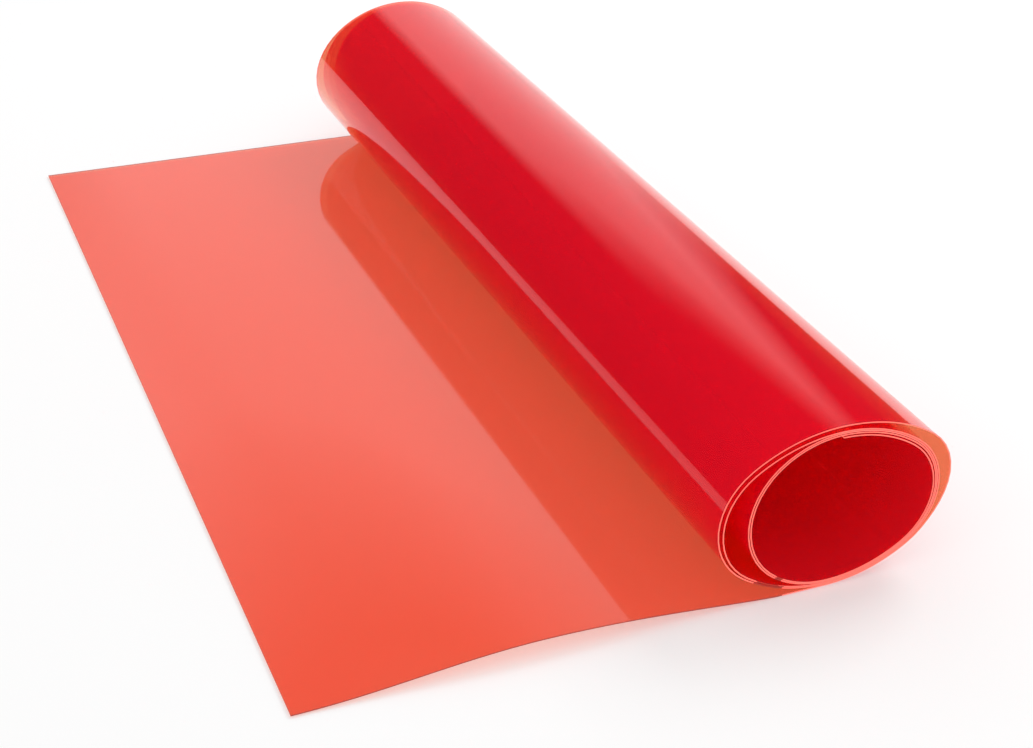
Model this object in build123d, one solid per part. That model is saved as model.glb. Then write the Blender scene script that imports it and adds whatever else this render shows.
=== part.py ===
from build123d import *
import math
import os

# A sheet of see-through sign vinyl on its clear release liner, wound on itself without a core
# and partly unrolled. Millimetres. +Y runs along the roll, +Z is up, and the unrolled leaf points
# to -X. The origin is at the middle of the footprint, on the surface that the sheet lies on.
#
# Seen from -Y, the sheet comes in from the left as a flat leaf, passes under the roll, climbs its
# right side and winds inwards. Its film side faces down and out, and its liner side up and in.

# Driving dimensions
SHEET_WIDTH = 305.0         # width of the sheet, which is the length of the roll
FILM_THICKNESS = 0.18       # face film with its adhesive coat
LINER_THICKNESS = 0.12      # clear release liner
ROLL_HEIGHT = 46.5          # the roll sags under its own weight, so it is lower than wide
RIGHT_REACH = 29.5          # from the roll's crown line to its right side
LEFT_REACH = 30.5           # from the crown line to its left side
LEAF_REACH = 130.5          # from the crown line to the free edge of the leaf
FULL_TURNS = 4              # whole turns, after which half a turn more ends at the top
WRAP_GAP = 0.40             # air left between two turns
CORE_SLACK = 6.0            # the inner turns lie this much further in, on the left
FIRST_SLACK_TURN = 2        # the first turn, counted from 0, whose left side has that slack
FLAT_ANGLE = 35.0           # half of the angle that a crown or a foot of a turn bends through
BEND_CLEARANCE = 6.0        # from the roll's left side to the line where the leaf bends up
PEEL_LENGTH = 25.0          # the end of the liner that peels back first

# Worked out from them
SHEET_THICKNESS = FILM_THICKNESS + LINER_THICKNESS
PITCH = SHEET_THICKNESS + WRAP_GAP
CROWN_X = (LEAF_REACH - RIGHT_REACH) / 2
FREE_EDGE_X = CROWN_X - LEAF_REACH
BEND_X = CROWN_X - LEFT_REACH - BEND_CLEARANCE
PEEL_X = FREE_EDGE_X + PEEL_LENGTH
NEAR_Y = -SHEET_WIDTH / 2


def place(x, z):
    """A point of the section, on the near end of the roll."""
    return Vector(x, NEAR_Y, z)


def half_turn_radii(reach, height):
    """Radii of the flat and the side arcs of a half turn that stands on the crown line."""
    sine = math.sin(math.radians(FLAT_ANGLE))
    cosine = math.cos(math.radians(FLAT_ANGLE))
    scale = 2 * sine * cosine - 2 * (1 - sine) * (1 - cosine)
    flat = (2 * cosine * reach - (1 - sine) * height) / scale
    side = (sine * height - 2 * (1 - cosine) * reach) / scale
    return flat, side


def half_turns():
    """(reach, height) of each half turn on its outer face, from the leaf inwards."""
    halves = []
    for turn in range(FULL_TURNS + 1):
        inset = turn * PITCH
        halves.append((RIGHT_REACH - inset, ROLL_HEIGHT - 2 * inset))
        if turn < FULL_TURNS:
            slack = CORE_SLACK if turn >= FIRST_SLACK_TURN else 0.0
            halves.append((LEFT_REACH - inset - slack, ROLL_HEIGHT - 2 * inset - PITCH))
    return halves


def arcs_of_half(start_x, start_z, heading, reach, height):
    """Three tangent arcs, each (centre x, centre z, radius, start angle, sweep) in degrees."""
    flat, side = half_turn_radii(reach, height)
    arcs = []
    x, z = start_x, start_z
    for radius, sweep in ((flat, FLAT_ANGLE), (side, 180 - 2 * FLAT_ANGLE), (flat, FLAT_ANGLE)):
        start = math.radians(heading - 90)
        centre_x = x - radius * math.cos(start)
        centre_z = z - radius * math.sin(start)
        arcs.append((centre_x, centre_z, radius, heading - 90, sweep))
        heading += sweep
        end = math.radians(heading - 90)
        x = centre_x + radius * math.cos(end)
        z = centre_z + radius * math.sin(end)
    return arcs, x, z


def wound_arcs():
    """The arcs of each half turn, which follow the outer face of the film."""
    x, z = CROWN_X, 0.0
    wound = []
    for index, (reach, height) in enumerate(half_turns()):
        arcs, x, z = arcs_of_half(x, z, 180.0 * index, reach, height)
        wound.append(arcs)
    return wound


def on_arc(arc, depth, share):
    """A point on an arc, a depth inside the outer face, at a share of its sweep."""
    centre_x, centre_z, radius, start, sweep = arc
    angle = math.radians(start + share * sweep)
    inner = radius - depth
    return place(centre_x + inner * math.cos(angle), centre_z + inner * math.sin(angle))


def wound_strip(arcs, outer_depth, inner_depth):
    """The solid between two depths along a chain of arcs."""
    edges = []
    for depth in (outer_depth, inner_depth):
        for arc in arcs:
            edges.append(ThreePointArc(*[on_arc(arc, depth, share) for share in (0, 0.5, 1)]))
    for arc, share in ((arcs[0], 0), (arcs[-1], 1)):
        edges.append(Line(on_arc(arc, outer_depth, share), on_arc(arc, inner_depth, share)))
    return extrude(make_face(edges), amount=SHEET_WIDTH, dir=(0, 1, 0))


def flat_strip(low_x, high_x, low_z, high_z):
    """A flat stretch of one layer, the whole width of the sheet."""
    block = Box(high_x - low_x, SHEET_WIDTH, high_z - low_z)
    return Pos((low_x + high_x) / 2, 0, (low_z + high_z) / 2) * block


def turn_names(layer):
    """Names of the turns of one layer, from the outside in."""
    names = [f"{layer}_turn_{number + 1}" for number in range(FULL_TURNS)]
    return names + [f"{layer}_inner_half_turn"]


def wound_layer(layer, outer_depth, inner_depth):
    """Every turn of one layer: two half turns each, and the last half turn by itself."""
    halves = wound_arcs()
    pieces = {}
    for number, name in enumerate(turn_names(layer)):
        arcs = [arc for half in halves[2 * number:2 * number + 2] for arc in half]
        pieces[name] = wound_strip(arcs, outer_depth, inner_depth)
    return pieces


def film():
    """The face film with its adhesive coat: leaf, stretch under the roll, and turns."""
    pieces = wound_layer("film", 0.0, FILM_THICKNESS)
    pieces["film_leaf"] = flat_strip(FREE_EDGE_X, BEND_X, 0, FILM_THICKNESS)
    pieces["film_under_roll"] = flat_strip(BEND_X, CROWN_X, 0, FILM_THICKNESS)
    return pieces


def liner():
    """The release liner, on the film's adhesive all the way, and its end that peels back."""
    pieces = wound_layer("liner", FILM_THICKNESS, SHEET_THICKNESS)
    heights = (FILM_THICKNESS, SHEET_THICKNESS)
    pieces["liner_peel_end"] = flat_strip(FREE_EDGE_X, PEEL_X, *heights)
    pieces["liner_leaf"] = flat_strip(PEEL_X, BEND_X, *heights)
    pieces["liner_under_roll"] = flat_strip(BEND_X, CROWN_X, *heights)
    return pieces


def flat_length():
    """Length of the sheet laid flat, along its outer face."""
    wound = sum(arc[2] * math.radians(arc[4]) for half in wound_arcs() for arc in half)
    return LEAF_REACH + wound


def main():
    os.makedirs("parts", exist_ok=True)
    for name, solid in {**film(), **liner()}.items():
        export_step(solid, f"parts/{name}.step")
    print(f"flat length {flat_length():.1f} mm, bend line x {BEND_X:.2f}, peel line x {PEEL_X:.2f}")


main()
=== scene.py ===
"""A roll of clear red sign vinyl on its liner, partly unrolled, on a plain white floor.

The sheet is one film and one release liner, wound together on themselves without a core. Its
section is a chain of tangent arcs, given at each end of the roll, because the roll sags more at one
end than at the other. Geometry Nodes span the sheet between the two end sections.
"""

import logging
import math
from dataclasses import dataclass
from enum import Enum

import bpy
from mathutils import Matrix, Vector

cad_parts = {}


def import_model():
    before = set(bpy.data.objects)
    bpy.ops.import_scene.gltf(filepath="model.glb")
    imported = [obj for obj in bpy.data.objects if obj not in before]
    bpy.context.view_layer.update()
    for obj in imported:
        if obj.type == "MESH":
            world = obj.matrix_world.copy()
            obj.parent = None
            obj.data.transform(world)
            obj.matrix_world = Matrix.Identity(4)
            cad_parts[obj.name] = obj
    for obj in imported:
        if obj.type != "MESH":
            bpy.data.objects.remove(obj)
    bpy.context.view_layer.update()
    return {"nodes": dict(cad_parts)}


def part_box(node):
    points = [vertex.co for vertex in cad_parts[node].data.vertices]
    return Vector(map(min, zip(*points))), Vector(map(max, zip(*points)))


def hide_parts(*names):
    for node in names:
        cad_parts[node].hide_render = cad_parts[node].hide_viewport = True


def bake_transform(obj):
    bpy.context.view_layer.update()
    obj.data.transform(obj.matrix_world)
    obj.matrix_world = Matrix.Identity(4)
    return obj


LOG = logging.getLogger("vinyl_roll")
Point = tuple[float, float]


# --------------------------------------------------------------------------- finishes


@dataclass(frozen=True)
class ClearSheetFinish:
    """A glossy see-through sheet, which tints what is behind it a little more at each face."""

    name: str
    tint: tuple[float, float, float]
    haze: tuple[float, float, float]
    haze_share: float
    index: float = 1.5
    roughness: float = 0.03
    smear_spread: float = 3.0
    smear_scale: float = 18.0
    smear_detail: float = 3.0
    ripple: float = 0.02
    ripple_scale: float = 9.0
    ripple_detail: float = 1.0
    ripple_distance: float = 0.01

    def build(self, bonded: bool = False) -> bpy.types.Material:
        """Builds the material.

        Args:
            bonded: Whether the face is bonded to the other layer, so that it has no gloss.

        Returns:
            The node material of one of the sheet's broad faces.
        """
        material = bpy.data.materials.new(f"{self.name}_bonded" if bonded else self.name)
        material.use_nodes = True
        nodes, links = material.node_tree.nodes, material.node_tree.links
        nodes.clear()
        output = nodes.new("ShaderNodeOutputMaterial")
        through = nodes.new("ShaderNodeBsdfTransparent")
        through.inputs["Color"].default_value = (*self.tint, 1)
        hazy = nodes.new("ShaderNodeBsdfDiffuse")
        hazy.inputs["Color"].default_value = (*self.haze, 1)
        body = nodes.new("ShaderNodeMixShader")
        body.inputs[0].default_value = self.haze_share
        links.new(through.outputs[0], body.inputs[1])
        links.new(hazy.outputs[0], body.inputs[2])
        if bonded:
            links.new(body.outputs[0], output.inputs["Surface"])
            return material
        gloss = nodes.new("ShaderNodeBsdfGlossy")
        gloss.inputs["Color"].default_value = (1, 1, 1, 1)
        links.new(self._smears(nodes, links), gloss.inputs["Roughness"])
        links.new(self._ripples(nodes, links), gloss.inputs["Normal"])
        fresnel = nodes.new("ShaderNodeFresnel")
        fresnel.inputs["IOR"].default_value = self.index
        side = nodes.new("ShaderNodeNewGeometry")
        entering = calculate(nodes, links, "SUBTRACT", 1.0, side.outputs["Backfacing"])
        mirrored = calculate(nodes, links, "MULTIPLY", fresnel.outputs[0], entering)
        surface = nodes.new("ShaderNodeMixShader")
        links.new(mirrored, surface.inputs[0])
        links.new(body.outputs[0], surface.inputs[1])
        links.new(gloss.outputs[0], surface.inputs[2])
        links.new(surface.outputs[0], output.inputs["Surface"])
        return material

    def _smears(self, nodes: bpy.types.Nodes, links: bpy.types.NodeLinks) -> bpy.types.NodeSocket:
        """Roughness that varies a little, as on a handled glossy sheet.

        Args:
            nodes: The material's nodes.
            links: The material's links.

        Returns:
            The socket that gives the roughness.
        """
        place = nodes.new("ShaderNodeTexCoord")
        noise = nodes.new("ShaderNodeTexNoise")
        noise.inputs["Scale"].default_value = self.smear_scale
        noise.inputs["Detail"].default_value = self.smear_detail
        spread = nodes.new("ShaderNodeMapRange")
        spread.inputs["To Min"].default_value = self.roughness
        spread.inputs["To Max"].default_value = self.roughness * self.smear_spread
        links.new(place.outputs["Object"], noise.inputs["Vector"])
        links.new(noise.outputs["Fac"], spread.inputs["Value"])
        return spread.outputs["Result"]

    def _ripples(self, nodes: bpy.types.Nodes, links: bpy.types.NodeLinks) -> bpy.types.NodeSocket:
        """A slow unevenness of the sheet, which bends its reflections.

        Args:
            nodes: The material's nodes.
            links: The material's links.

        Returns:
            The socket that gives the bumped normal.
        """
        place = nodes.new("ShaderNodeTexCoord")
        noise = nodes.new("ShaderNodeTexNoise")
        noise.inputs["Scale"].default_value = self.ripple_scale
        noise.inputs["Detail"].default_value = self.ripple_detail
        bump = nodes.new("ShaderNodeBump")
        bump.inputs["Strength"].default_value = self.ripple
        bump.inputs["Distance"].default_value = self.ripple_distance
        links.new(place.outputs["Object"], noise.inputs["Vector"])
        links.new(noise.outputs["Fac"], bump.inputs["Height"])
        return bump.outputs["Normal"]


@dataclass(frozen=True)
class CutEdgePaintedLight:
    """The cut edge of the sheet, where light piped along the film comes out: that light is a painted
    glow, an emission, and a copy with a darker colour and no glow is painted shade.
    """

    name: str
    colour: tuple[float, float, float]
    glow: float
    roughness: float = 0.35

    def build(self) -> bpy.types.Material:
        """Builds the material.

        Returns:
            The node material of the sheet's cut edges.
        """
        material = bpy.data.materials.new(self.name)
        material.use_nodes = True
        shader = material.node_tree.nodes["Principled BSDF"]
        shader.inputs["Base Color"].default_value = (*self.colour, 1)
        shader.inputs["Roughness"].default_value = self.roughness
        # Emission: a painted glow on the cut edge, which is no lamp.
        shader.inputs["Emission Color"].default_value = (*self.colour, 1)
        shader.inputs["Emission Strength"].default_value = self.glow
        return material


# --------------------------------------------------------------------------- section


@dataclass(frozen=True)
class EndSection:
    """The wound sheet's section at one end of the roll, in metres, on its outer face.

    The same chain of arcs as the CAD turns: each half turn stands on the crown line and is a flat
    arc, a side arc and a flat arc. Each tuple goes from the outer turn inwards.
    """

    rights: tuple[float, ...]
    lefts: tuple[float, ...]
    crowns: tuple[float, ...]
    feet: tuple[float, ...]
    arch: float
    loose_half: int
    loose_from: float
    looseness: float
    flat_angle: float = 35.0
    steps_per_arc: int = 14
    leaf_steps: int = 90
    arch_share: float = 0.45
    arch_fall: float = 1.2

    def halves(self) -> list[Point]:
        """Lists each half turn from the leaf inwards.

        Returns:
            (reach, height) of each half turn.
        """
        halves = []
        for turn, (right, crown, foot) in enumerate(zip(self.rights, self.crowns, self.feet)):
            halves.append((right, crown - foot))
            if turn < len(self.lefts):
                halves.append((self.lefts[turn], crown - self.feet[turn + 1]))
        return halves

    def let_out(self, half: int, heading: float) -> float:
        """How far a point stands out where the outer turn has sprung open.

        Args:
            half: Number of the half turn, from the leaf inwards.
            heading: Direction of travel at the point, in degrees.

        Returns:
            The distance outwards.
        """
        share = (heading - self.loose_from) / (180 * (half + 1) - self.loose_from)
        if half != self.loose_half or not 0 < share < 1:
            return 0.0
        return self.looseness * math.sin(math.pi * share) ** 2

    def radii(self, reach: float, height: float) -> Point:
        """Solves one half turn.

        Args:
            reach: From the crown line to its side.
            height: From its foot to its crown.

        Returns:
            Radius of its flat arcs and of its side arc.
        """
        sine = math.sin(math.radians(self.flat_angle))
        cosine = math.cos(math.radians(self.flat_angle))
        scale = 2 * sine * cosine - 2 * (1 - sine) * (1 - cosine)
        flat = (2 * cosine * reach - (1 - sine) * height) / scale
        side = (sine * height - 2 * (1 - cosine) * reach) / scale
        return flat, side

    def wound(self, crown_x: float, depth: float) -> list[Point]:
        """Points along the turns.

        Args:
            crown_x: Where the crown line is.
            depth: How far inside the outer face the points lie.

        Returns:
            (x, z) of each point after the first, from the leaf inwards.
        """
        points = []
        x, z, heading = crown_x, 0.0, 0.0
        for half, (reach, height) in enumerate(self.halves()):
            flat, side = self.radii(reach, height)
            side_sweep = 180 - 2 * self.flat_angle
            for radius, sweep in ((flat, self.flat_angle), (side, side_sweep), (flat, self.flat_angle)):
                start = math.radians(heading - 90)
                centre = (x - radius * math.cos(start), z - radius * math.sin(start))
                for step in range(1, self.steps_per_arc + 1):
                    angle = start + math.radians(sweep) * step / self.steps_per_arc
                    inner = radius - depth + self.let_out(half, math.degrees(angle) + 90)
                    across, up = inner * math.cos(angle), inner * math.sin(angle)
                    points.append((centre[0] + across, centre[1] + up))
                heading += sweep
                end = math.radians(heading - 90)
                x, z = centre[0] + radius * math.cos(end), centre[1] + radius * math.sin(end)
        return points

    def leaf(self, free_x: float, crown_x: float, depth: float) -> list[Point]:
        """Points along the flat leaf, which arches a little between its edge and the roll.

        Args:
            free_x: Where the free edge is.
            crown_x: Where the crown line is, at which the winding starts.
            depth: How far above the leaf's underside the points lie.

        Returns:
            (x, z) of each point, from the free edge to the crown line.
        """
        points = []
        for step in range(self.leaf_steps + 1):
            share = step / self.leaf_steps
            if share < self.arch_share:
                swell = math.sin(math.pi * (share / (2 * self.arch_share))) ** 2
            else:
                past = min(1.0, (share - self.arch_share) / self.arch_share)
                swell = math.cos(math.pi * past / 2) ** self.arch_fall
            points.append((free_x + share * (crown_x - free_x), depth + self.arch * swell))
        return points


# --------------------------------------------------------------------------- the wound sheet


class Rim(Enum):
    """Which material a face of a layer takes, by the slot's number."""

    NONE = 0
    WOUND = 2
    LEAF = 3


@dataclass(frozen=True)
class LayerFinishes:
    """Materials of a layer: its outer and inner face, and its edges round the turns and the leaf, which
    carry a painted glow and painted shade.
    """

    outer: bpy.types.Material
    inner: bpy.types.Material
    wound: bpy.types.Material
    leaf: bpy.types.Material


@dataclass
class WoundSheet:
    """One layer of the sheet, spanned by Geometry Nodes between its two end sections."""

    near: EndSection
    far: EndSection
    width: float
    crown_x: float
    free_x: float
    depth: float
    thickness: float
    roll_reach: float
    columns: int = 25
    skip_points: int = 0
    keep_points: int = 0
    seam_x: float | None = None
    sharp_angle: float = 40.0
    leaf_edge_reach: float = 0.4
    leaf_edge_height: float = 0.2

    def rail(self, section: EndSection, name: str) -> bpy.types.Object:
        """Makes an end section as a row of loose vertices.

        Args:
            section: The section to draw.
            name: The object's name.

        Returns:
            A mesh object with one vertex for each point of the section.
        """
        points = section.leaf(self.free_x, self.crown_x, self.depth)
        points += section.wound(self.crown_x, self.depth)
        last = self.keep_points or len(points)
        points = points[self.skip_points:last]
        mesh = bpy.data.meshes.new(name)
        mesh.from_pydata([(x, 0, z) for x, z in points], [], [])
        return add_object(name, mesh)

    def build(self, name: str, finishes: LayerFinishes) -> bpy.types.Object:
        """Spans the sheet and gives it its thickness.

        Args:
            name: The piece's name.
            finishes: Its materials.

        Returns:
            The finished piece, a closed mesh.
        """
        near_rail = self.rail(self.near, f"{name}_near_rail")
        far_rail = self.rail(self.far, f"{name}_far_rail")
        rows = len(near_rail.data.vertices)
        tree = span_tree(f"{name}_span", finishes.outer)
        carrier = add_object(f"{name}_carrier", bpy.data.meshes.new(f"{name}_carrier"))
        modifier = carrier.modifiers.new("span", "NODES")
        modifier.node_group = tree
        values = {"Near Section": near_rail, "Far Section": far_rail, "Width": self.width,
                  "Rows": rows, "Columns": self.columns}
        for item in tree.interface.items_tree:
            if item.item_type == "SOCKET" and item.in_out == "INPUT" and item.name in values:
                modifier[item.identifier] = values[item.name]
        carrier.update_tag()
        skin = freeze(carrier)
        bpy.data.objects.remove(carrier)
        for rail in (near_rail, far_rail):
            bpy.data.objects.remove(rail)
        return self.thicken(skin, name, finishes)

    def thicken(self, skin: bpy.types.Mesh, name: str, finishes: LayerFinishes) -> bpy.types.Object:
        """Gives a skin the layer's thickness, with its edges as faces of their own material.

        Args:
            skin: The spanned skin, which is the layer's outer face.
            name: The piece's name.
            finishes: Its materials.

        Returns:
            The thick piece, with its modifier applied.
        """
        skin.materials.clear()
        for material in (finishes.outer, finishes.inner, finishes.wound, finishes.leaf):
            skin.materials.append(material)
        for polygon in skin.polygons:
            polygon.material_index = Rim.NONE.value
        body = add_object(f"{name}_skin", skin)
        solidify = body.modifiers.new("thickness", "SOLIDIFY")
        solidify.thickness = self.thickness
        solidify.offset = -1
        solidify.use_even_offset = True
        solidify.material_offset = 1
        solidify.material_offset_rim = Rim.WOUND.value
        mesh = freeze(body)
        bpy.data.objects.remove(body)
        mesh.name = name
        mesh.set_sharp_from_angle(angle=math.radians(self.sharp_angle))
        for polygon in mesh.polygons:
            polygon.use_smooth = polygon.material_index < Rim.WOUND.value
            if not polygon.use_smooth:
                polygon.material_index = self.rim_at(polygon.center).value
        return add_object(name, mesh)

    def rim_at(self, place: Vector) -> Rim:
        """Tells which kind of edge a rim face belongs to.

        Args:
            place: The face's centre.

        Returns:
            The kind of edge.
        """
        if self.seam_x is not None and abs(place.x - self.seam_x) < self.thickness:
            return Rim.NONE
        # Rim faces of the leaf take the darker cut edge, painted shade; the other rim faces take the
        # cut edge with a painted glow.
        left_of_roll = place.x < self.crown_x - self.roll_reach * self.leaf_edge_reach
        if left_of_roll and place.z < self.roll_reach * self.leaf_edge_height:
            return Rim.LEAF
        return Rim.WOUND


def add_object(name: str, data: bpy.types.ID) -> bpy.types.Object:
    """Makes an object and links it to the scene.

    Args:
        name: The object's name.
        data: Its mesh, light or camera.

    Returns:
        The object.
    """
    made = bpy.data.objects.new(name, data)
    bpy.context.scene.collection.objects.link(made)
    return made


def freeze(source: bpy.types.Object) -> bpy.types.Mesh:
    """Turns an object with modifiers into a plain mesh.

    Args:
        source: The object to evaluate.

    Returns:
        A new mesh of its evaluated shape.
    """
    graph = bpy.context.evaluated_depsgraph_get()
    graph.update()
    return bpy.data.meshes.new_from_object(source.evaluated_get(graph), depsgraph=graph)


def span_tree(name: str, material: bpy.types.Material) -> bpy.types.GeometryNodeTree:
    """Builds the tree that spans a grid between two end sections.

    Args:
        name: The tree's name.
        material: Material of the spanned faces.

    Returns:
        A tree with inputs Near Section, Far Section, Width, Rows and Columns.
    """
    tree = bpy.data.node_groups.new(name, "GeometryNodeTree")
    face = tree.interface
    face.new_socket("Near Section", in_out="INPUT", socket_type="NodeSocketObject")
    face.new_socket("Far Section", in_out="INPUT", socket_type="NodeSocketObject")
    face.new_socket("Width", in_out="INPUT", socket_type="NodeSocketFloat")
    face.new_socket("Rows", in_out="INPUT", socket_type="NodeSocketInt")
    face.new_socket("Columns", in_out="INPUT", socket_type="NodeSocketInt")
    face.new_socket("Geometry", in_out="OUTPUT", socket_type="NodeSocketGeometry")
    nodes, links = tree.nodes, tree.links
    given = nodes.new("NodeGroupInput")
    grid = nodes.new("GeometryNodeMeshGrid")
    grid.inputs["Size X"].default_value = 1.0
    grid.inputs["Size Y"].default_value = 1.0
    links.new(given.outputs["Rows"], grid.inputs["Vertices X"])
    links.new(given.outputs["Columns"], grid.inputs["Vertices Y"])
    index = nodes.new("GeometryNodeInputIndex")
    row = whole_number(nodes, links, "DIVIDE_FLOOR", index.outputs[0], given.outputs["Columns"])
    column = whole_number(nodes, links, "MODULO", index.outputs[0], given.outputs["Columns"])
    last = calculate(nodes, links, "SUBTRACT", given.outputs["Columns"], 1.0)
    across = calculate(nodes, links, "DIVIDE", column, last)
    near_end = section_point(nodes, links, given.outputs["Near Section"], row)
    far_end = section_point(nodes, links, given.outputs["Far Section"], row)
    blend = nodes.new("ShaderNodeMix")
    blend.data_type = "VECTOR"
    links.new(across, blend.inputs["Factor"])
    links.new(near_end, blend.inputs[4])
    links.new(far_end, blend.inputs[5])
    centred = calculate(nodes, links, "SUBTRACT", across, 0.5)
    shift = nodes.new("ShaderNodeCombineXYZ")
    links.new(calculate(nodes, links, "MULTIPLY", centred, given.outputs["Width"]), shift.inputs["Y"])
    total = nodes.new("ShaderNodeVectorMath")
    total.operation = "ADD"
    links.new(blend.outputs[1], total.inputs[0])
    links.new(shift.outputs[0], total.inputs[1])
    put = nodes.new("GeometryNodeSetPosition")
    links.new(grid.outputs["Mesh"], put.inputs["Geometry"])
    links.new(total.outputs[0], put.inputs["Position"])
    flip = nodes.new("GeometryNodeFlipFaces")
    links.new(put.outputs[0], flip.inputs[0])
    real = nodes.new("GeometryNodeRealizeInstances")
    links.new(flip.outputs[0], real.inputs[0])
    dress = nodes.new("GeometryNodeSetMaterial")
    dress.inputs["Material"].default_value = material
    links.new(real.outputs[0], dress.inputs["Geometry"])
    out = nodes.new("NodeGroupOutput")
    links.new(dress.outputs[0], out.inputs["Geometry"])
    return tree


def whole_number(
    nodes: bpy.types.Nodes,
    links: bpy.types.NodeLinks,
    operation: str,
    first: bpy.types.NodeSocket,
    second: bpy.types.NodeSocket,
) -> bpy.types.NodeSocket:
    """Adds whole-number arithmetic.

    Args:
        nodes: The tree's nodes.
        links: The tree's links.
        operation: The operation's name.
        first: The first number.
        second: The second number.

    Returns:
        The socket of the result.
    """
    node = nodes.new("FunctionNodeIntegerMath")
    node.operation = operation
    links.new(first, node.inputs[0])
    links.new(second, node.inputs[1])
    return node.outputs[0]


def section_point(
    nodes: bpy.types.Nodes,
    links: bpy.types.NodeLinks,
    section: bpy.types.NodeSocket,
    row: bpy.types.NodeSocket,
) -> bpy.types.NodeSocket:
    """Reads the point of an end section that belongs to a row of the grid.

    Args:
        nodes: The tree's nodes.
        links: The tree's links.
        section: The section's object.
        row: The row's number.

    Returns:
        The socket of the point's position.
    """
    info = nodes.new("GeometryNodeObjectInfo")
    links.new(section, info.inputs["Object"])
    position = nodes.new("GeometryNodeInputPosition")
    sample = nodes.new("GeometryNodeSampleIndex")
    sample.data_type = "FLOAT_VECTOR"
    links.new(info.outputs["Geometry"], sample.inputs["Geometry"])
    links.new(position.outputs[0], sample.inputs["Value"])
    links.new(row, sample.inputs["Index"])
    return sample.outputs[0]


# --------------------------------------------------------------------------- the roll


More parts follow.
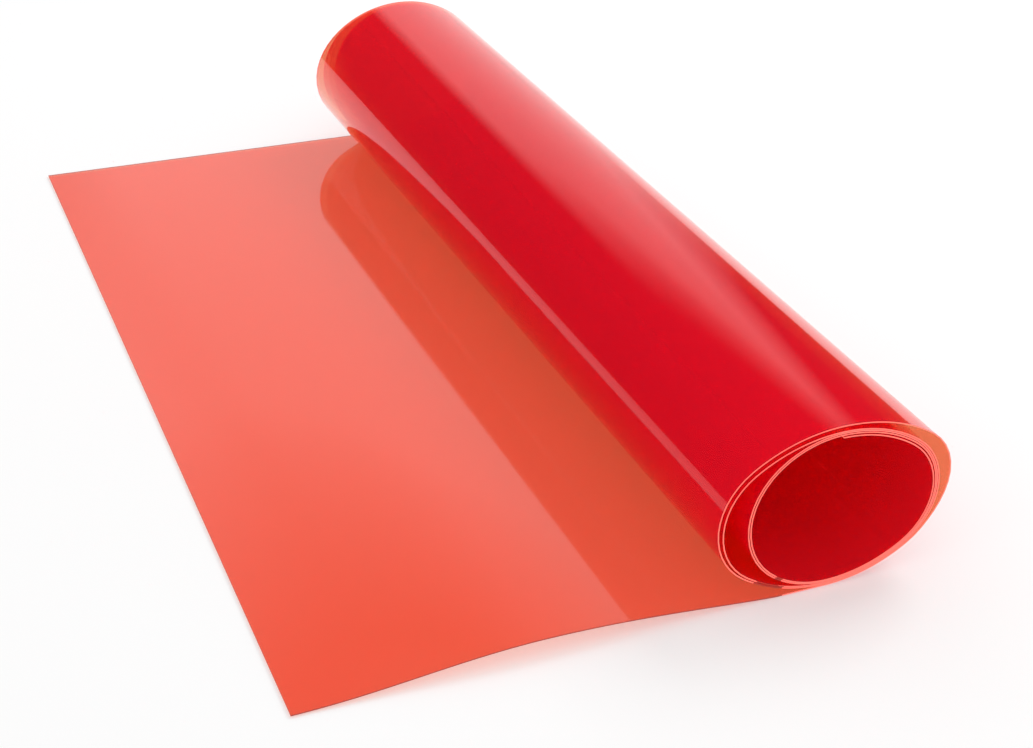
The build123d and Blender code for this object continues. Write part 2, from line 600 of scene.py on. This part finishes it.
@dataclass
class VinylRoll:
    """The whole roll: the film, and the liner wound along with it."""

    film_thickness: float = 0.00018
    liner_thickness: float = 0.00010
    lamination_gap: float = 0.00002
    foot_pitch: float = 0.00036
    bend_spread: float = 0.012
    peel_spread: float = 0.006
    near_height: float = 0.950
    far_height: float = 1.055
    seam_share: float = 0.45

    def __post_init__(self) -> None:
        """Reads the sheet's place from the frame."""
        self.leaf_low, self.leaf_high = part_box("film_leaf")
        turn_low, turn_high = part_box("film_turn_1")
        under_low, under_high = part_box("film_under_roll")
        self.width = self.leaf_high.y - self.leaf_low.y
        self.free_x = self.leaf_low.x
        self.bend_x = self.leaf_high.x
        self.crown_x = under_high.x
        self.peel_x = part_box("liner_peel_end")[1].x
        self.height = turn_high.z
        self.right_reach = turn_high.x - self.crown_x
        self.left_reach = self.crown_x - turn_low.x

    def sections(self) -> tuple[EndSection, EndSection]:
        """Sizes the two end sections from the frame.

        Returns:
            The near end's section, sagged lower, and the far end's, which stands taller.
        """
        feet = tuple(turn * self.foot_pitch for turn in range(5))
        near = EndSection(
            rights=self.inwards(self.right_reach, 0.0011, 0.0016, 0.0020, 0.0026),
            lefts=self.inwards(self.left_reach, 0.0013, 0.0078, 0.0084),
            crowns=self.inwards(self.height * self.near_height, 0.0015, 0.0019, 0.0024, 0.0031),
            feet=feet, arch=0.0040, loose_half=0, loose_from=50.0, looseness=0.0022)
        far = EndSection(
            rights=self.inwards(self.right_reach, 0.0005, 0.0010, 0.0015, 0.0020),
            lefts=self.inwards(self.left_reach, 0.0008, 0.0050, 0.0056),
            crowns=self.inwards(self.height * self.far_height, 0.0006, 0.0011, 0.0016, 0.0021),
            feet=feet, arch=0.0, loose_half=1, loose_from=215.0, looseness=0.0022)
        return near, far

    @staticmethod
    def inwards(outer: float, *insets: float) -> tuple[float, ...]:
        """Lists a size of each turn.

        Args:
            outer: The size on the outer turn.
            *insets: How much less it is on each turn further in.

        Returns:
            The sizes from the outer turn inwards.
        """
        return (outer, *[outer - inset for inset in insets])

    def sheet(self, depth: float, thickness: float, **span: float) -> WoundSheet:
        """Sets one layer up.

        Args:
            depth: How far inside the outer face it starts.
            thickness: Its thickness.
            **span: The first or last section point and the seam's place, for a layer in two pieces.

        Returns:
            The layer, ready to build.
        """
        near, far = self.sections()
        return WoundSheet(near, far, self.width, self.crown_x, self.free_x, depth, thickness,
                          self.left_reach, **span)

    def build_film(self) -> bpy.types.Object:
        """Builds the film, which is one unbroken piece.

        Returns:
            The film.
        """
        red = ClearSheetFinish(
            "red_film_face", tint=(0.997, 0.625, 0.425), haze=(0.985, 0.006, 0.045),
            haze_share=0.28, index=1.4)
        finishes = LayerFinishes(
            red.build(), red.build(bonded=True),
            # Turn edges are bright coral with a painted glow; leaf edges are the same cut edge in a
            # darker colour without glow, painted shade.
            CutEdgePaintedLight("red_film_turn_edge_painted_glow", colour=(0.98, 0.16, 0.12), glow=0.5).build(),
            CutEdgePaintedLight("red_film_leaf_edge_painted_shade", colour=(0.35, 0.02, 0.01), glow=0.0).build())
        piece = self.sheet(0.0, self.film_thickness).build("red_film", finishes)
        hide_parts(*[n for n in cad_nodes() if n.startswith("film_")])
        return self.bend(piece, self.flat_length())

    def build_liner(self) -> list[bpy.types.Object]:
        """Builds the liner in two pieces, which meet at a seam a little short of the leaf's middle.

        Returns:
            The wound liner and its free end.
        """
        clear = ClearSheetFinish(
            "clear_liner_face", tint=(0.99, 0.985, 0.98), haze=(0.9, 0.85, 0.85), haze_share=0.004)
        finishes = LayerFinishes(
            clear.build(bonded=True), clear.build(),
            # The clear liner's cut edges are painted red: a bright painted glow on the turns, and a
            # darker copy on the leaf as painted shade.
            CutEdgePaintedLight("clear_liner_turn_edge_painted_glow", colour=(0.98, 0.22, 0.17), glow=0.5).build(),
            CutEdgePaintedLight("clear_liner_leaf_edge_painted_shade", colour=(0.45, 0.05, 0.03), glow=0.0).build())
        depth = self.film_thickness + self.lamination_gap
        near, _ = self.sections()
        share = (self.bend_x - self.free_x) * self.seam_share / (self.crown_x - self.free_x)
        cut = round(share * near.leaf_steps)
        free_length = cut / near.leaf_steps * (self.crown_x - self.free_x)
        seam = self.free_x + free_length
        wound = self.sheet(depth, self.liner_thickness, skip_points=cut, seam_x=seam).build(
            "clear_liner", finishes)
        free = self.sheet(depth, self.liner_thickness, keep_points=cut + 1, seam_x=seam).build(
            "clear_liner_free_end", finishes)
        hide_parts(*[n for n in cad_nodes() if n.startswith("liner_") and n != "liner_peel_end"])
        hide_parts("liner_peel_end")
        self.bend(wound, self.flat_length() - free_length)
        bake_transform(free)
        return [wound, free]

    def bend(self, piece: bpy.types.Object, length: float) -> bpy.types.Object:
        """Bakes the layer's transform into its mesh; the layer is not bent.

        Args:
            piece: The layer.
            length: Its flat length; not used.

        Returns:
            The same piece.
        """
        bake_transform(piece)
        return piece

    def flat_length(self) -> float:
        """Length of the sheet laid flat, taken halfway between the two ends.

        Returns:
            The length in metres.
        """
        total = 0.0
        for section in self.sections():
            points = section.leaf(self.free_x, self.crown_x, 0.0) + section.wound(self.crown_x, 0.0)
            total += sum(math.dist(a, b) for a, b in zip(points, points[1:]))
        return total / 2


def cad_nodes() -> list[str]:
    """Lists the CAD nodes in the frame.

    Returns:
        Their names.
    """
    return sorted(FRAME["nodes"])


# --------------------------------------------------------------------------- the studio


@dataclass(frozen=True)
class Studio:
    """Floor, light and camera."""

    floor_size: float = 6.0
    floor_drop: float = 0.0004
    floor_white: float = 0.96
    floor_glow: float = 0.35
    plain_light: float = 0.85
    seen_light: float = 1.0
    mirrored_dark: float = 0.05
    mirrored_panel: float = 1.0
    panel_left: tuple[float, float] = (2.0, 9.0)
    panel_right: tuple[float, float] = (34.0, 40.0)
    panel_top: tuple[float, float] = (31.0, 40.0)
    lamp_energy: float = 4.0
    lamp_size: float = 0.5
    lamp_place: tuple[float, float, float] = (0.75, 0.25, 0.8)
    camera_place: tuple[float, float, float] = (-0.1502, -0.4369, 0.2491)
    camera_azimuth: float = -22.93
    camera_elevation: float = 29.64
    camera_tilt: float = 1.26
    camera_lens: float = 61.74

    def floor(self) -> bpy.types.Object:
        """Lays the white floor.

        Returns:
            The floor, marked as staging.
        """
        half = self.floor_size / 2
        mesh = bpy.data.meshes.new("floor")
        corners = [(-half, -half), (half, -half), (half, half), (-half, half)]
        mesh.from_pydata([(x, y, -self.floor_drop) for x, y in corners], [], [(0, 1, 2, 3)])
        floor = add_object("floor", mesh)
        material = bpy.data.materials.new("floor_white")
        material.use_nodes = True
        nodes, links = material.node_tree.nodes, material.node_tree.links
        nodes.clear()
        diffuse = nodes.new("ShaderNodeBsdfDiffuse")
        diffuse.inputs["Color"].default_value = (*[self.floor_white] * 3, 1)
        white = nodes.new("ShaderNodeEmission")
        white.inputs["Color"].default_value = (1, 1, 1, 1)
        both = nodes.new("ShaderNodeMixShader")
        both.inputs[0].default_value = self.floor_glow
        out = nodes.new("ShaderNodeOutputMaterial")
        links.new(diffuse.outputs[0], both.inputs[1])
        links.new(white.outputs[0], both.inputs[2])
        links.new(both.outputs[0], out.inputs["Surface"])
        mesh.materials.append(material)
        return floor

    def world(self) -> None:
        """Makes the surroundings: white to the eye, and dark but for one panel in reflections."""
        world = bpy.data.worlds.new("studio")
        bpy.context.scene.world = world
        world.use_nodes = True
        nodes, links = world.node_tree.nodes, world.node_tree.links
        nodes.clear()
        out = nodes.new("ShaderNodeOutputWorld")
        mirrored = nodes.new("ShaderNodeBackground")
        links.new(self.window(nodes, links), mirrored.inputs["Strength"])
        path = nodes.new("ShaderNodeLightPath")
        plain = nodes.new("ShaderNodeBackground")
        plain.inputs["Strength"].default_value = self.plain_light
        seen = nodes.new("ShaderNodeBackground")
        seen.inputs["Strength"].default_value = self.seen_light
        for shader in (mirrored, plain, seen):
            shader.inputs["Color"].default_value = (1, 1, 1, 1)
        glossy = nodes.new("ShaderNodeMixShader")
        links.new(path.outputs["Is Glossy Ray"], glossy.inputs[0])
        links.new(plain.outputs[0], glossy.inputs[1])
        links.new(mirrored.outputs[0], glossy.inputs[2])
        eye = nodes.new("ShaderNodeMixShader")
        links.new(path.outputs["Is Camera Ray"], eye.inputs[0])
        links.new(glossy.outputs[0], eye.inputs[1])
        links.new(seen.outputs[0], eye.inputs[2])
        links.new(eye.outputs[0], out.inputs["Surface"])

    def window(self, nodes: bpy.types.Nodes, links: bpy.types.NodeLinks) -> bpy.types.NodeSocket:
        """Makes the one white panel that the glossy sheet mirrors, beyond the far end of the roll.

        Args:
            nodes: The world's nodes.
            links: The world's links.

        Returns:
            The socket of the brightness in each direction.
        """
        place = nodes.new("ShaderNodeTexCoord")
        split = nodes.new("ShaderNodeSeparateXYZ")
        links.new(place.outputs["Generated"], split.inputs[0])
        bearing = calculate(nodes, links, "ARCTAN2", split.outputs["X"], split.outputs["Y"])
        left = [math.radians(angle) for angle in self.panel_left]
        right = [math.radians(angle) for angle in self.panel_right]
        top = [math.sin(math.radians(angle)) for angle in self.panel_top]
        rising = ramp(nodes, links, bearing, *left, 0, 1)
        falling = ramp(nodes, links, bearing, *right, 1, 0)
        under_top = ramp(nodes, links, split.outputs["Z"], *top, 1, 0)
        beside = calculate(nodes, links, "MULTIPLY", rising, falling)
        share = calculate(nodes, links, "MULTIPLY", beside, under_top)
        return ramp(nodes, links, share, 0, 1, self.mirrored_dark, self.mirrored_panel)

    def lamp(self) -> None:
        """Hangs a soft lamp on the right, so that the roll shades the leaf beside it."""
        data = bpy.data.lights.new("soft_lamp", "AREA")
        data.energy = self.lamp_energy
        data.size = self.lamp_size
        lamp = add_object("soft_lamp", data)
        lamp.location = self.lamp_place
        lamp.rotation_euler = (Vector((0, 0, 0)) - lamp.location).to_track_quat("-Z", "Y").to_euler()
        lamp.visible_glossy = False

    def camera(self) -> None:
        """Places the camera."""
        data = bpy.data.cameras.new("camera")
        data.sensor_width = 36.0
        data.lens = self.camera_lens
        data.clip_start = 0.01
        camera = add_object("camera", data)
        turn = math.radians(self.camera_azimuth)
        rise = math.radians(self.camera_elevation)
        level = math.cos(rise)
        ahead = Vector((-math.sin(turn) * level, math.cos(turn) * level, -math.sin(rise)))
        facing = ahead.to_track_quat("-Z", "Y").to_matrix().to_4x4()
        tilt = Matrix.Rotation(math.radians(self.camera_tilt), 4, "Z")
        camera.matrix_world = Matrix.Translation(Vector(self.camera_place)) @ facing @ tilt
        bpy.context.scene.camera = camera

    def build(self) -> None:
        """Sets the whole studio up."""
        self.camera()
        self.floor()
        self.world()
        self.lamp()
        scene = bpy.context.scene
        scene.view_settings.view_transform = "Standard"
        scene.cycles.transparent_max_bounces = 96
        scene.cycles.max_bounces = 24
        scene.cycles.glossy_bounces = 6
        scene.cycles.diffuse_bounces = 14


def ramp(
    nodes: bpy.types.Nodes,
    links: bpy.types.NodeLinks,
    value: bpy.types.NodeSocket,
    start: float,
    end: float,
    low: float,
    high: float,
) -> bpy.types.NodeSocket:
    """Maps a value between two limits.

    Args:
        nodes: The tree's nodes.
        links: The tree's links.
        value: The value to map.
        start: Where the ramp starts.
        end: Where it ends.
        low: The result before the start.
        high: The result after the end.

    Returns:
        The socket of the result.
    """
    node = nodes.new("ShaderNodeMapRange")
    for key, number in zip(("From Min", "From Max", "To Min", "To Max"), (start, end, low, high)):
        node.inputs[key].default_value = number
    links.new(value, node.inputs["Value"])
    return node.outputs["Result"]


def calculate(
    nodes: bpy.types.Nodes,
    links: bpy.types.NodeLinks,
    operation: str,
    first: bpy.types.NodeSocket | float,
    second: bpy.types.NodeSocket | float,
) -> bpy.types.NodeSocket:
    """Adds arithmetic on two values.

    Args:
        nodes: The tree's nodes.
        links: The tree's links.
        operation: The operation's name.
        first: The first value, a socket or a number.
        second: The second value, a socket or a number.

    Returns:
        The socket of the result.
    """
    node = nodes.new("ShaderNodeMath")
    node.operation = operation
    for entry, value in zip(node.inputs, (first, second)):
        if isinstance(value, bpy.types.NodeSocket):
            links.new(value, entry)
        else:
            entry.default_value = value
    return node.outputs[0]


def main() -> None:
    """Builds the roll and its studio, and logs each piece."""
    logging.basicConfig(level=logging.INFO, format="%(name)s: %(message)s")
    Studio().build()
    roll = VinylRoll()
    for piece in [roll.build_film(), *roll.build_liner()]:
        LOG.info("%s: %d faces", piece.name, len(piece.data.polygons))
    LOG.info("flat length %.1f mm", roll.flat_length() * 1000)


if __name__ == "__main__":
    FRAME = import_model()
    main()
